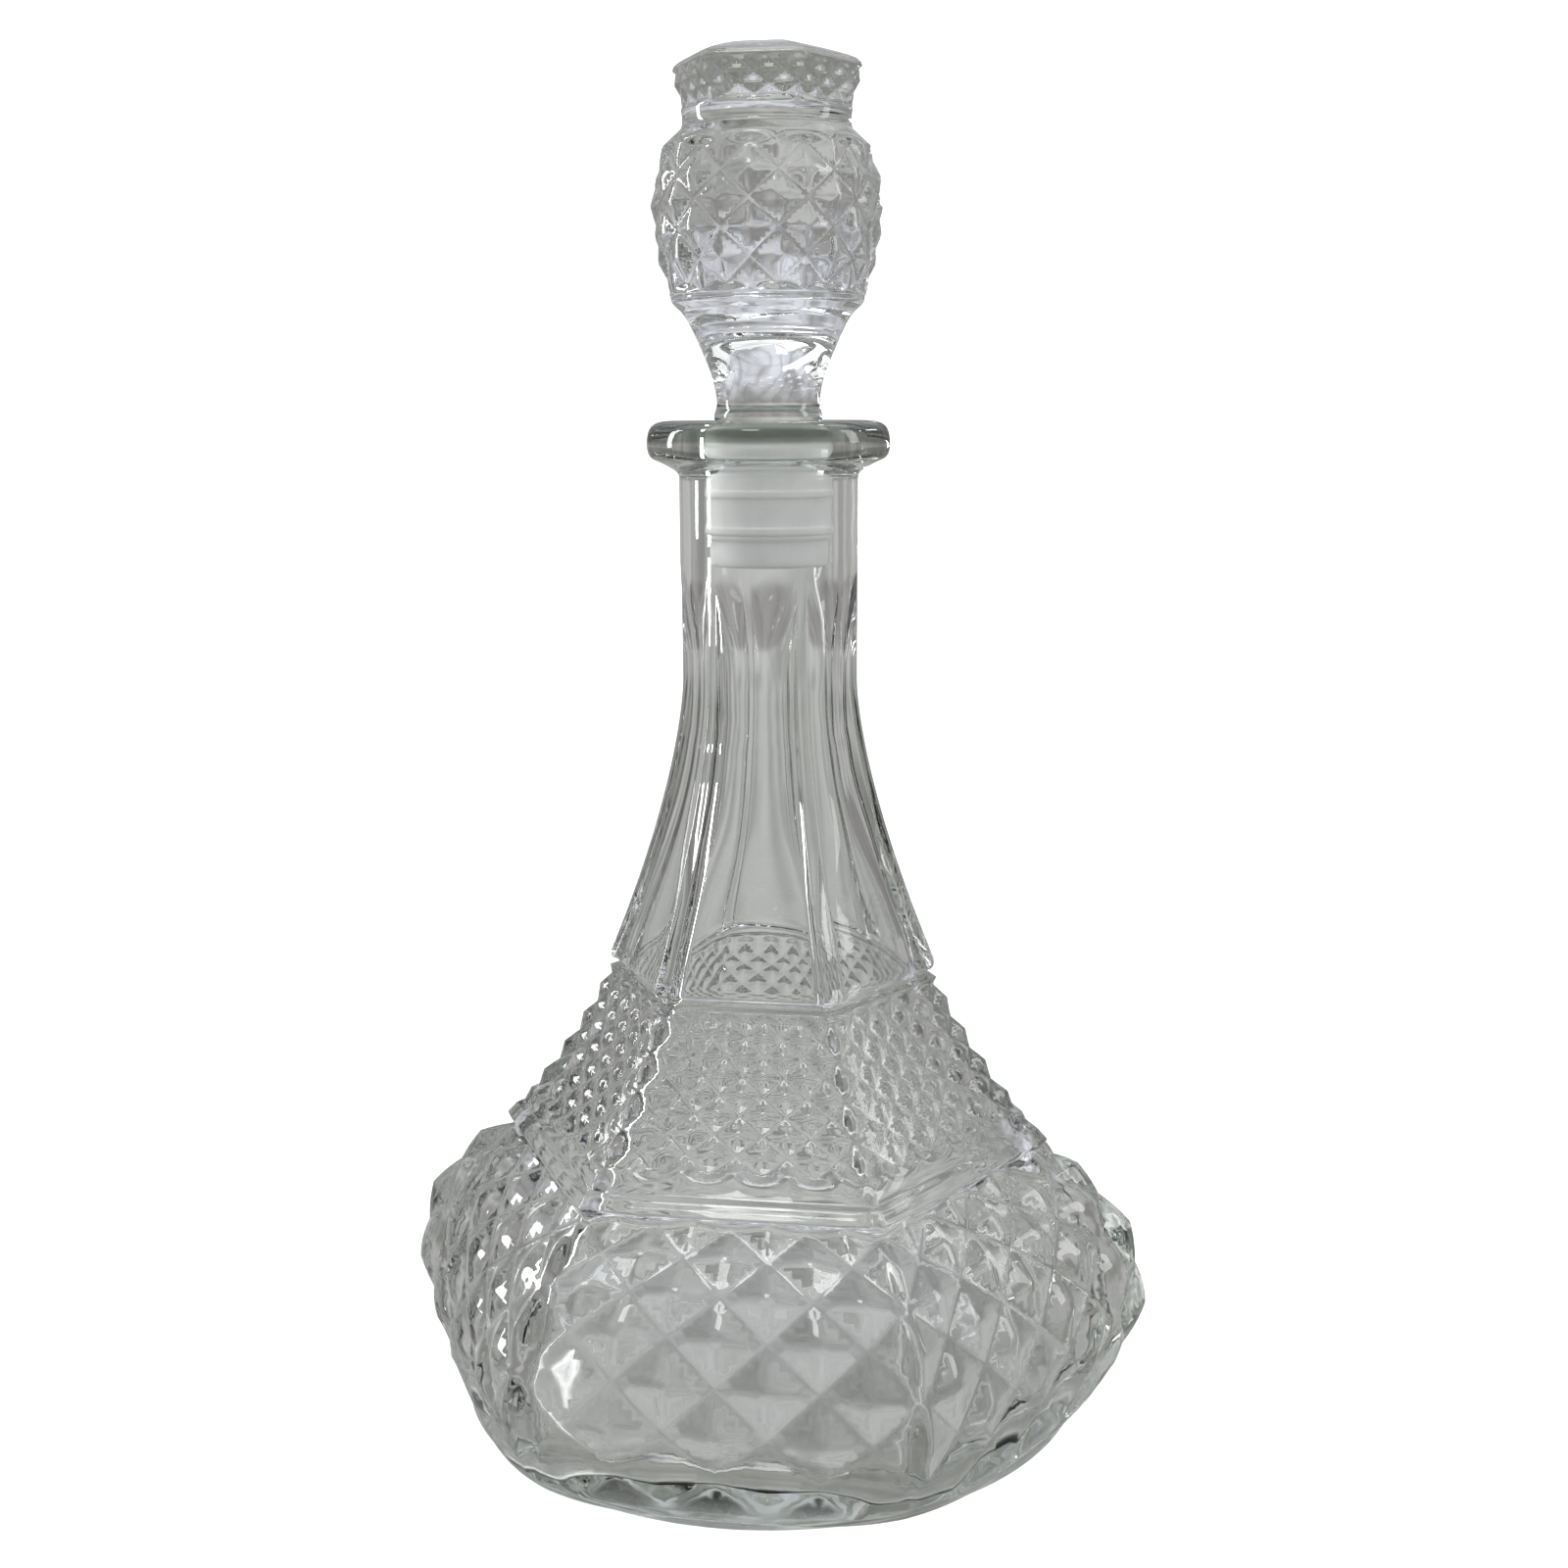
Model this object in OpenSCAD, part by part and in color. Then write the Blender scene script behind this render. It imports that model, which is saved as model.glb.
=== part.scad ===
// Six-sided pressed-glass decanter with a glass knob stopper in a plastic sleeve.
// Millimetres. The origin is the centre of the standing ring, and +Z runs up the axis.
// One face of the body looks along -Y, and two of its corners lie on the X axis.

/* [Body] */
// Distance from the axis to a corner of the body at its widest
body_corner_r = 69.6; // [66:0.2:74]
// Height at which the body is widest
body_widest_z = 19; // [17:0.5:21]
// Radius of the round standing ring
foot_r = 55.8; // [53:0.2:57]
// Distance from the axis to a corner at the ridge above the large diamonds
ridge_corner_r = 50.2; // [49:0.2:51]
// Height of the ridge's lower edge
ridge_z = 47.6; // [47:0.2:49]
// Height of the ridge moulding
ridge_h = 3; // [2:0.2:4]

/* [Shoulder] */
// Distance from the axis to a corner at the top of the small diamonds
field_corner_r = 31; // [30:0.2:33]
// Height of the top of the small diamonds
field_z = 76.5; // [75:0.5:78]
// Distance from the axis to a corner of the shoulder step
step_corner_r = 29.6; // [29:0.2:30.4]
// Height of the shoulder step
step_z = 80.2; // [79.5:0.1:81]

/* [Neck] */
// Outer radius of the round neck
neck_r = 15.5; // [15:0.1:16.5]
// Height at which the six panels are narrowest
panel_waist_z = 131; // [126:1:134]
// Height at which the panels have faded into the round neck
panel_top_z = 148; // [145:1:152]
// Radius of the bore
bore_r = 11.3; // [11:0.1:11.8]

/* [Lip] */
// Outer radius of the rolled lip
lip_r = 21; // [20:0.2:22]
// Height of the underside of the lip
lip_z = 166.4; // [165:0.2:167]
// Height of the lip's top
mouth_z = 176; // [175:0.2:177]

/* [Glass walls] */
// Thickness of the body's wall under the cut pattern
body_wall = 4.4; // [3.6:0.2:5]
// Thickness of the glass at the middle of the base
base_wall = 8; // [6:0.5:10]
// Depth of the hollow under the base
punt_h = 2; // [1:0.5:3]

/* [Stopper] */
// Radius of the peg
peg_r = 8.8; // [8.4:0.1:9]
// Largest radius of the knob
knob_r = 19.8; // [19:0.2:20.6]
// Height at which the knob is widest
knob_z = 211.5; // [210:0.5:213]
// Radius of the groove between knob and crown
groove_r = 14.4; // [14:0.2:15]
// Distance from the axis to a corner of the crown
crown_corner_r = 16.2; // [15.8:0.1:16.6]
// Height of the crown's upper edge
crown_z = 234.4; // [233:0.2:236]
// Height of the crown's domed top
top_z = 237.8; // [237:0.2:239]

/* [Sleeve] */
// Height of the sleeve's lower end
sleeve_z = 151.4; // [150:0.2:153]
// Height of the sleeve's upper end
sleeve_top_z = 173.6; // [172:0.2:174.6]
// Radial clearance on each side of the sleeve
fit_gap = 0.06; // [0.05:0.01:0.08]
// Radius of the sleeve's slimmer lower end
sleeve_tip_r = 10.3; // [10:0.1:10.6]

/* [Hidden] */
$fn = 96;

glass_colour = [0.80, 0.85, 0.82, 0.45];
plastic_colour = [0.93, 0.94, 0.94, 0.85];

// A hexagon's flat sides stand nearer the axis than its corners, by this ratio.
flat_ratio = cos(30);

// Bulge of the body: a quarter ellipse that starts vertical at the widest height.
bulge_width = 35;
bulge_height = 32;
function bulge_corner_r(z) = body_corner_r - bulge_width
    + bulge_width * sqrt(1 - pow((z - body_widest_z) / bulge_height, 2));

// A list of heights spread evenly from low to high, with both ends.
function steps(low, high, count) = [for (i = [0 : count]) low + (high - low) * i / count];

// Body above the ridge: a straight slope pulled in by a shallow hollow of the given depth.
field_hollow = 1;
field_low_z = ridge_z + ridge_h;
field_low_r = ridge_corner_r - 1.8;
function field_corner(z) =
    let (t = (z - field_low_z) / (field_z - field_low_z))
    field_low_r + (field_corner_r - field_low_r) * t - 4 * field_hollow * t * (1 - t);

// Neck panels: they start wide at the step and close in on the waist along a power curve.
waist_corner_r = neck_r + 0.1;
panel_power = 1.75;
function panel_corner(z) =
    let (t = (panel_waist_z - z) / (panel_waist_z - step_z))
    waist_corner_r + (step_corner_r - waist_corner_r) * pow(t, panel_power);

// Corner radius and height all the way up the six-sided form.
heel_corner_r = 64.4;
notch_corner_r = step_corner_r - 0.9;
corner_profile = concat(
    [[heel_corner_r, 0], [66.8, 3], [69, 10]],
    [for (z = steps(body_widest_z, ridge_z, 9)) [bulge_corner_r(z), z]],
    [[ridge_corner_r - 0.6, ridge_z + ridge_h - 0.8]],
    [for (z = steps(field_low_z, field_z, 4)) [field_corner(z), z]],
    [[notch_corner_r, step_z - 1.8], [notch_corner_r, step_z - 1.2]],
    [for (z = steps(step_z, panel_waist_z, 12)) [panel_corner(z), z]],
    [[waist_corner_r + 1.2, panel_waist_z + 9], [neck_r / flat_ratio + 0.3, panel_top_z],
     [lip_r / flat_ratio + 1, lip_z - 8], [lip_r / flat_ratio + 1, mouth_z]]);

// The lip: rounded above and below its straight edge, with a sloping underside.
lip_round = 2.2;
lip_edge_z = lip_z + 3;
lip_curve = concat(
    [for (turn = [-60 : 15 : 0])
        [lip_r - lip_round + lip_round * cos(turn), lip_edge_z + lip_round * (1 + sin(turn))]],
    [for (turn = [0 : 15 : 90])
        [lip_r - lip_round + lip_round * cos(turn), mouth_z - lip_round * (1 - sin(turn))]]);

// Round form that rounds the heel, the neck and the lip.
heel_round = [[0, 0], [foot_r, 0], [59.3, 2.6], [63, 5.5], [66.8, 9], [69.4, 12.4], [71.4, 17]];
clear_r = body_corner_r + 4;
round_profile = concat(
    heel_round,
    [[clear_r, 24], [clear_r, step_z + 4], [22, panel_waist_z - 14], [neck_r, panel_waist_z - 2],
     [neck_r, lip_z - 1], [neck_r + 1, lip_z]],
    lip_curve,
    [[0, mouth_z]]);

// Hollow inside: bore, shoulders and a flat-bottomed bowl with a rounded edge.
bore_end_z = 118;
bowl_r = body_corner_r - 8;
hollow_profile = [
    [0, base_wall], [bowl_r - 16, base_wall], [bowl_r - 7, base_wall + 2.2],
    [bowl_r - 1.6, base_wall + 8], [bowl_r, base_wall + 14], [bowl_r - 1, 30], [bowl_r - 6, 37],
    [ridge_corner_r - 6.6, ridge_z - 1], [ridge_corner_r - 10.4, ridge_z + 6],
    [field_corner_r - 4.4, field_z - 3], [step_corner_r - 6.4, step_z + 4], [15.4, 104],
    [bore_r + 0.7, bore_end_z - 5], [bore_r, bore_end_z], [bore_r, mouth_z - 1.4],
    [bore_r + 1.4, mouth_z], [bore_r + 1.4, mouth_z + 1], [0, mouth_z + 1]];

punt_r = foot_r - 7;

// Six-sided solid whose flat sides follow a profile of corner radius against height.
module six_sided(profile) {
    half = [for (p = profile) [p[0] * flat_ratio, p[1]]];
    outline = concat(half, [for (i = [len(half) - 1 : -1 : 0]) [-half[i][0], half[i][1]]]);
    intersection_for (turn = [30, 90, 150])
        rotate([0, 0, turn]) rotate([90, 0, 0])
            linear_extrude(height = 4 * clear_r, center = true) polygon(outline);
}

module bottle_hollow() {
    inset = [for (p = corner_profile) [p[0] - body_wall / flat_ratio, p[1]]];
    low = [for (p = inset) if (p[1] < step_z + 2) p];
    intersection() {
        rotate_extrude() polygon(hollow_profile);
        six_sided(concat(low, [[bore_r * 3, step_z + 12], [bore_r * 3, mouth_z + 2]]));
    }
}

module bottle() {
    color(glass_colour)
    difference() {
        intersection() {
            six_sided(corner_profile);
            rotate_extrude() polygon(round_profile);
        }
        bottle_hollow();
        translate([0, 0, -1]) cylinder(r = punt_r, h = 1 + punt_h);
    }
}

// Peg, stem and knob, turned round the axis. The knob's outline is two half ellipses.
peg_z = sleeve_z + 1.6;
stem_z = mouth_z + 1;
knob_low_z = knob_z - 15;
belt_z = crown_z - 9.6;
lower_span = 27.6;
upper_span = 20.5;
function knob_radius(z) =
    let (span = z < knob_z ? lower_span : upper_span)
    knob_r * sqrt(1 - pow((z - knob_z) / span, 2));
knob_profile = concat(
    [[0, peg_z], [peg_r - 1.2, peg_z], [peg_r, peg_z + 1.2], [peg_r, sleeve_top_z + 1],
     [peg_r + 0.6, stem_z], [peg_r, stem_z + 1.6], [peg_r + 0.5, stem_z + 5]],
    [[peg_r + 2, stem_z + 9], [peg_r + 4.6, stem_z + 15.4]],
    [for (z = steps(knob_low_z, belt_z - 1.6, 8)) [knob_radius(z), z]],
    [[groove_r, belt_z], [groove_r, belt_z + 2.4], [0, belt_z + 2.4]]);

// Six-sided crown with a low domed top.
crown_profile = [
    [groove_r / flat_ratio - 1.4, belt_z + 2], [crown_corner_r - 0.6, belt_z + 4.4],
    [crown_corner_r, crown_z - 1.6], [crown_corner_r - 0.8, crown_z],
    [crown_corner_r * 0.72, crown_z + 2], [crown_corner_r * 0.34, top_z - 0.5], [2, top_z]];

module stopper() {
    color(glass_colour)
    union() {
        rotate_extrude() polygon(knob_profile);
        six_sided(crown_profile);
    }
}

// Sleeve: a tube with three soft sealing rings and a slimmer lower end.
sleeve_bore = peg_r + fit_gap;
seal_r = bore_r - fit_gap;
ring_proud = 0.35;
barrel_r = seal_r - ring_proud;
ring_z = [sleeve_z + 6.2, sleeve_z + 12.4, sleeve_top_z - 2.4];
ring_h = 1.6;
module stopper_sleeve() {
    color(plastic_colour)
    difference() {
        union() {
            translate([0, 0, sleeve_z]) cylinder(r = sleeve_tip_r, h = sleeve_top_z - sleeve_z);
            translate([0, 0, ring_z[0] - ring_h])
                cylinder(r = barrel_r, h = sleeve_top_z - ring_z[0] + ring_h);
            for (z = ring_z) translate([0, 0, z - ring_h / 2]) cylinder(r = seal_r, h = ring_h);
        }
        translate([0, 0, sleeve_z - 1]) cylinder(r = sleeve_bore, h = sleeve_top_z - sleeve_z + 2);
    }
}

bottle();
stopper();
stopper_sleeve();
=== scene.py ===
"""Visual model of a six-sided pressed-glass decanter with a glass stopper in a plastic sleeve.

The file is laid out as an add-on and is run as a script. Each piece is one operator, its sizes and
colours are in a property group, and the sidebar panel lists the operators in the order they run.
Lengths are in metres, +Z runs up the decanter's axis, and one face of the body looks along -Y.
"""

import math

import bpy
import numpy as np
from bpy.props import FloatProperty, FloatVectorProperty, IntProperty, PointerProperty
from mathutils import Matrix, Vector


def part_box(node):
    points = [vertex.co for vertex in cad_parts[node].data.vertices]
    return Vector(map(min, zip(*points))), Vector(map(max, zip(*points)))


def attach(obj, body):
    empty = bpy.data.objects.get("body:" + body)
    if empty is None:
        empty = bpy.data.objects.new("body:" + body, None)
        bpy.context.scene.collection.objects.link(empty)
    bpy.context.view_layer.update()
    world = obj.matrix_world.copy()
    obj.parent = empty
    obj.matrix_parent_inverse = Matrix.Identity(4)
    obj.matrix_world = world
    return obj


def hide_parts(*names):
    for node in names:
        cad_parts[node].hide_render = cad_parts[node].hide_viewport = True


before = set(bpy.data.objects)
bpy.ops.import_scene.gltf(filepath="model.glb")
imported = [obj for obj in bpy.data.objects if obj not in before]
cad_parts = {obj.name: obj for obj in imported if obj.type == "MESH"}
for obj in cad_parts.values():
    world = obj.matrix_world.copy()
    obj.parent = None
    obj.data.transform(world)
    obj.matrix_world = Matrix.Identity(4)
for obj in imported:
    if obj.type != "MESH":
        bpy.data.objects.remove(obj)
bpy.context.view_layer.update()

bl_info = {
    "name": "Pressed-glass decanter",
    "version": (1, 0, 0),
    "blender": (4, 5, 0),
    "location": "3D View > Sidebar > Decanter",
    "description": "Builds the glass, the sleeve and the stage of a stoppered decanter",
    "category": "Add Mesh",
}

FACES = 6
FACE_HALF_ANGLE = math.pi / FACES
FLAT_RATIO = math.cos(FACE_HALF_ANGLE)
FRONT_AZIMUTH = -math.pi / 2
MM = 0.001

BOTTLE_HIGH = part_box("bottle")[1]
STOPPER_LOW, STOPPER_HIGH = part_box("stopper")
SLEEVE_LOW, SLEEVE_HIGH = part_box("stopper_sleeve")


# ---------------------------------------------------------------- sizes and colours


def length(name, description, default):
    """A length property, in metres."""
    return FloatProperty(name=name, description=description, default=default,
                         min=0.0, unit="LENGTH", subtype="DISTANCE", precision=4)


def colour(name, description, default):
    """A colour property without alpha."""
    return FloatVectorProperty(name=name, description=description, default=default,
                               size=3, min=0.0, max=1.0, subtype="COLOR")


class BottleShape(bpy.types.PropertyGroup):
    """Sizes of the glass bottle."""
    corner_reach: length("Corner reach", "From the axis to a corner at the widest height",
                         BOTTLE_HIGH.x)
    widest_height: length("Widest height", "Height at which the bowl is widest", 0.0190)
    foot_radius: length("Foot radius", "Radius of the round standing ring", 0.0558)
    ridge_height: length("Ridge height", "Height of the ridge's lower edge", 0.0476)
    field_top: length("Small diamonds' top", "Height at which the small diamonds end", 0.0770)
    field_bottom: length("Small diamonds' foot", "Height at which they start", 0.0542)
    step_height: length("Shoulder height", "Height of the shoulder step", 0.0806)
    waist_height: length("Waist height", "Height at which the six panels are narrowest", 0.1310)
    panel_top: length("Panels' top", "Height at which the panels have faded out", 0.1510)
    neck_radius: length("Neck radius", "Outer radius of the round neck", 0.0155)
    bore_radius: length("Bore radius", "Radius of the bore", 0.0113)
    lip_radius: length("Lip radius", "Outer radius of the rolled lip", 0.0210)
    lip_height: length("Lip height", "Height of the lip's underside", 0.1674)
    wall: length("Wall", "Thickness of the wall behind the diamonds", 0.0044)
    floor_height: length("Floor height", "Height of the hollow's floor", 0.0062)
    small_depth: length("Small diamond depth", "Height of the small pyramids", 0.0012)
    large_depth: length("Large diamond depth", "Height of the large pyramids", 0.0017)
    small_columns: IntProperty(name="Small columns", description="Small diamonds across a face",
                               default=5, min=1, max=10)
    small_half_rows: IntProperty(name="Small half rows", description="Half rows of small diamonds",
                                 default=8, min=2, max=16)
    large_columns: IntProperty(name="Large columns", description="Large diamonds across a face",
                               default=4, min=1, max=10)


class StopperShape(bpy.types.PropertyGroup):
    """Sizes of the glass stopper."""
    peg_radius: length("Peg radius", "Radius of the peg inside the sleeve", 0.0088)
    knob_radius: length("Knob radius", "Largest radius of the knob", STOPPER_HIGH.x)
    knob_height: length("Knob height", "Height at which the knob is widest", 0.2115)
    groove_radius: length("Groove radius", "Radius of the groove under the crown", 0.0143)
    crown_reach: length("Crown reach", "From the axis to a corner of the crown", 0.0163)
    crown_height: length("Crown height", "Height of the crown's upper edge", 0.2344)
    dome_rise: length("Dome rise", "From the crown's edge to its peak", 0.0033)
    diamond_depth: length("Diamond depth", "Height of the knob's pyramids", 0.0011)
    diamond_columns: IntProperty(name="Diamonds round", description="Diamonds round the knob",
                                 default=12, min=6, max=24)


class SleeveShape(bpy.types.PropertyGroup):
    """Sizes of the plastic sleeve."""
    bore_radius: length("Bore radius", "Radius of the sleeve's bore", 0.00886)
    barrel_radius: length("Barrel radius", "Radius of the sleeve between its rings", 0.0109)
    seal_radius: length("Seal radius", "Radius of the sealing rings", SLEEVE_HIGH.x)
    tip_radius: length("Tip radius", "Radius of the slimmer lower end", 0.0103)


class Finishes(bpy.types.PropertyGroup):
    """Colours of the glass, the plastic and the stage."""
    glass_tint: colour("Glass tint", "Light that a long way through the glass lets past",
                       (0.755, 0.785, 0.745))
    glass_density: FloatProperty(name="Glass density", description="How soon the tint shows",
                                 default=16.0, min=0.0, max=200.0)
    stopper_density: FloatProperty(name="Stopper density", description="The same in the stopper",
                                   default=8.0, min=0.0, max=200.0)
    sleeve_colour: colour("Sleeve colour", "Translucent white plastic", (0.89, 0.895, 0.89))
    floor_colour: colour("Floor colour", "Pale floor and backdrop", (0.86, 0.86, 0.86))


# ---------------------------------------------------------------- surfaces


def smooth_least(a, b, sharpness):
    """The smaller of two lengths, rounded over where they are alike.

    Formula: both to the power of minus k, added, and the sum to the power of minus one over k.
    """
    return (a ** -sharpness + b ** -sharpness) ** (-1.0 / sharpness)


def ease(x):
    """Smooth step from 0 to 1: three x squared less two x cubed."""
    x = np.clip(x, 0.0, 1.0)
    return x * x * (3.0 - 2.0 * x)


def pyramid(half_columns, half_rows, softness):
    """Height, 0 to 1, of pyramids on a lattice whose points stand where the two counts sum to odd.

    Formula: grooves run where the half sum or the half difference of the counts is whole, and the
    height is twice the rounded-over smaller one of the distances to the two nearest grooves,
    scaled so that the points reach 1. The softness is high for a sharp pyramid, low for a cushion.
    """
    rising = (half_columns + half_rows) / 2.0
    falling = (half_columns - half_rows) / 2.0
    to_rising = 2.0 * np.abs(rising - np.round(rising)) + 1e-4
    to_falling = 2.0 * np.abs(falling - np.round(falling)) + 1e-4
    return smooth_least(to_rising, to_falling, softness) * 2.0 ** (1.0 / softness)


def skin(name, points, relief=None, looped=False):
    """A closed triangle mesh over a grid of points, rows first and columns round the axis.

    The first and last rows are poles unless the rows are looped. Each cell is cut along the
    diagonal whose two ends are lower in the relief, so grooves stay straight.
    """
    rows, columns = points.shape[:2]
    if relief is None:
        relief = np.zeros((rows, columns))
    start = 0 if looped else 1
    stop = rows if looped else rows - 1
    ring = points[start:stop]
    count = ring.shape[0]
    vertices = ring.reshape(-1, 3)
    index = np.arange(count * columns).reshape(count, columns)
    low = index if looped else index[:-1]
    high = np.roll(index, -1, axis=0) if looped else index[1:]
    heights = relief[start:stop]
    h_low = heights if looped else heights[:-1]
    h_high = np.roll(heights, -1, axis=0) if looped else heights[1:]
    a, b = low, np.roll(low, -1, axis=1)
    d, c = high, np.roll(high, -1, axis=1)
    along_ac = h_low + np.roll(h_high, -1, axis=1)
    along_bd = np.roll(h_low, -1, axis=1) + h_high
    cut_ac = (along_ac <= along_bd)[..., None]
    first = np.where(cut_ac, np.stack([a, b, c], -1), np.stack([a, b, d], -1))
    second = np.where(cut_ac, np.stack([a, c, d], -1), np.stack([b, c, d], -1))
    triangles = [first.reshape(-1, 3), second.reshape(-1, 3)]
    if not looped:
        poles = np.stack([points[0].mean(0), points[-1].mean(0)])
        bottom, top = len(vertices), len(vertices) + 1
        vertices = np.concatenate([vertices, poles])
        first_ring, last_ring = index[0], index[-1]
        triangles.append(np.stack([np.full(columns, bottom), np.roll(first_ring, -1), first_ring], -1))
        triangles.append(np.stack([last_ring, np.roll(last_ring, -1), np.full(columns, top)], -1))
    triangles = np.concatenate(triangles)
    mesh = bpy.data.meshes.new(name)
    mesh.vertices.add(len(vertices))
    mesh.vertices.foreach_set("co", vertices.astype(np.float32).ravel())
    mesh.loops.add(triangles.size)
    mesh.loops.foreach_set("vertex_index", triangles.astype(np.int32).ravel())
    mesh.polygons.add(len(triangles))
    mesh.polygons.foreach_set("loop_start", np.arange(0, triangles.size, 3, dtype=np.int32))
    mesh.polygons.foreach_set("use_smooth", np.ones(len(triangles), dtype=bool))
    mesh.update(calc_edges=True)
    mesh.validate()
    piece = bpy.data.objects.new(name, mesh)
    bpy.context.scene.collection.objects.link(piece)
    return piece


def place(radius, azimuth, height):
    """Points from a distance from the axis, an angle round it and a height."""
    return np.stack([radius * np.cos(azimuth), radius * np.sin(azimuth),
                     np.broadcast_to(height, radius.shape)], -1)


def outward(reach, height):
    """Unit normal of a profile that runs upwards: its tangent turned a quarter towards the outside."""
    along_r, along_z = np.gradient(reach), np.gradient(height)
    size = np.hypot(along_r, along_z) + 1e-12
    return along_z / size, -along_r / size


def rounded(points, bow=0.25, cuts=3):
    """A profile whose corners are rounded over, by cutting each corner again and again.

    Formula: each pass puts two points on every span, at the bow's share from each end (corner
    cutting), and keeps the two end points.
    """
    points = np.asarray(points, float)
    for _ in range(cuts):
        near = points[:-1] * (1 - bow) + points[1:] * bow
        far = points[:-1] * bow + points[1:] * (1 - bow)
        middle = np.stack([near, far], 1).reshape(-1, 2)
        points = np.concatenate([points[:1], middle[1:-1], points[-1:]])
    return points


# ---------------------------------------------------------------- bottle

OPEN = 1.0                  # a reach or a limit too large to show anywhere
CORNER_SHARPNESS = 24.0     # how tightly a round limit is blended over the corners
CORNER_LIMIT = 1.06         # round limit over corner reach, which takes the edge off the corners
BOWL_CORNER_LIMIT = 1.09    # the same on the bowl
LARGE_SOFTNESS = 5.0        # how pointed the large diamonds are
SMALL_SOFTNESS = 3.0        # how pointed the small diamonds are
CELLS = 40                  # mesh columns on each face, a multiple of both diamond counts
PILLAR_CELLS = 3            # of those, on each half of a pillar
LARGE_CELLS = 5             # mesh rows to a half row of large diamonds
SMALL_CELLS = 4             # mesh rows to a half row of small diamonds
SLOPE_LOW = 0.0506          # height of the sloping shoulder's lower end
SLOPE_HIGH = 0.0765         # height of its upper end
SLOPE_LOW_REACH = 0.0486    # from the axis to a corner at the lower end
SLOPE_HIGH_REACH = 0.0310   # and at the upper end
SLOPE_HOLLOW = 0.0010       # how far the slope is hollowed halfway up
BULGE_WIDTH = 0.0350        # sideways reach of the quarter ellipse above the widest height
BULGE_HEIGHT = 0.0320       # its height
HEEL_TUCK = 0.0052          # by which the corners draw in from the widest height to the base
HEEL_SPREAD = 0.0215        # by which the heel's round limit opens above the foot
HEEL_RISE = 0.0240          # over this height
LARGE_PITCH = 0.0058        # first half row of large diamonds, along the surface
LARGE_GROWTH = 0.00027      # each further half row is longer by twice this
LARGE_LAST_ROW = 6.6        # half rows from the ridge to the heel
FADE_ROW = 6.1              # half row from which the large diamonds fade into the heel
ABOVE_ROWS = np.array([0.1, 0.2, 0.3])  # half rows above the small diamonds, where they level out
STEP_REACH = 0.0295         # from the axis to a corner of the neck at the shoulder step
PILLAR_HALF = 0.0010        # half width of a corner pillar at the waist
PILLAR_WIDENING = 0.00085   # by which it grows down to the shoulder step
PROUD_LOW = 0.00075         # how far a pillar stands out at the shoulder step
PROUD_HIGH = 0.00048        # and at the waist
FLUTE = 0.00025             # depth of a panel's hollow between two pillars
FADE_LOW = 0.1340           # height from which the panels fade into the round neck
FLOOR_CORNER = 0.0100       # sideways reach of the quarter ellipse round the hollow's floor
FLOOR_CROWN = 0.0006        # by which the floor rises to its middle


def bulge_corner(shape, height):
    """Corner reach of the bowl: a quarter ellipse above the widest height, a power curve below."""
    above = np.clip((height - shape.widest_height) / BULGE_HEIGHT, 0.0, 1.0)
    below = np.clip(1.0 - height / shape.widest_height, 0.0, 1.0)
    upper = BULGE_WIDTH * (1.0 - np.sqrt(1.0 - above ** 2))
    return shape.corner_reach - upper - HEEL_TUCK * below ** 2.5


def heel_limit(shape, height):
    """Round limit of the heel: it opens from the foot along a power curve."""
    return shape.foot_radius + HEEL_SPREAD * (np.clip(height, 0.0, None) / HEEL_RISE) ** 0.72


def field_corner(height):
    """Corner reach of the sloping shoulder: a straight slope less a parabola for its hollow."""
    share = (height - SLOPE_LOW) / (SLOPE_HIGH - SLOPE_LOW)
    straight = SLOPE_LOW_REACH + (SLOPE_HIGH_REACH - SLOPE_LOW_REACH) * share
    return straight - 4.0 * SLOPE_HOLLOW * share * (1.0 - share)


def panel_corner(shape, height):
    """Corner reach of the neck: it widens from the waist down along a power curve."""
    share = np.clip((shape.waist_height - height) / (shape.waist_height - shape.step_height), 0, 1)
    waist = shape.neck_radius - 0.1 * MM
    return waist + (STEP_REACH - waist) * share ** 1.5


def large_rows(shape):
    """Counts of half rows and their heights, from the heel up to the ridge.

    Formula: the surface's length from the ridge is the pitch times the count, plus the growth
    times its square, and the height is read back from the arc length of the profile.
    """
    height = np.linspace(shape.ridge_height, 3.0 * MM, 600)
    reach = bulge_corner(shape, height) * FLAT_RATIO
    run = np.concatenate([[0.0], np.cumsum(np.hypot(np.diff(reach), np.diff(height)))])
    count = np.arange(round(LARGE_LAST_ROW * LARGE_CELLS), -1, -1) / LARGE_CELLS
    wanted = LARGE_PITCH * count + LARGE_GROWTH * count ** 2
    return count, np.interp(wanted, run, height)


def rows(reach, height, limit=OPEN, depth=0.0, count=0.0, columns=1.0, pillar=0.0):
    """A table of profile stations, one row each, from lists or single numbers."""
    reach, height = np.broadcast_arrays(np.asarray(reach, float), np.asarray(height, float))
    given = (limit, depth, count, columns, pillar)
    return np.stack([reach, height, *(np.broadcast_to(g, reach.shape) for g in given)], -1)


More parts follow.
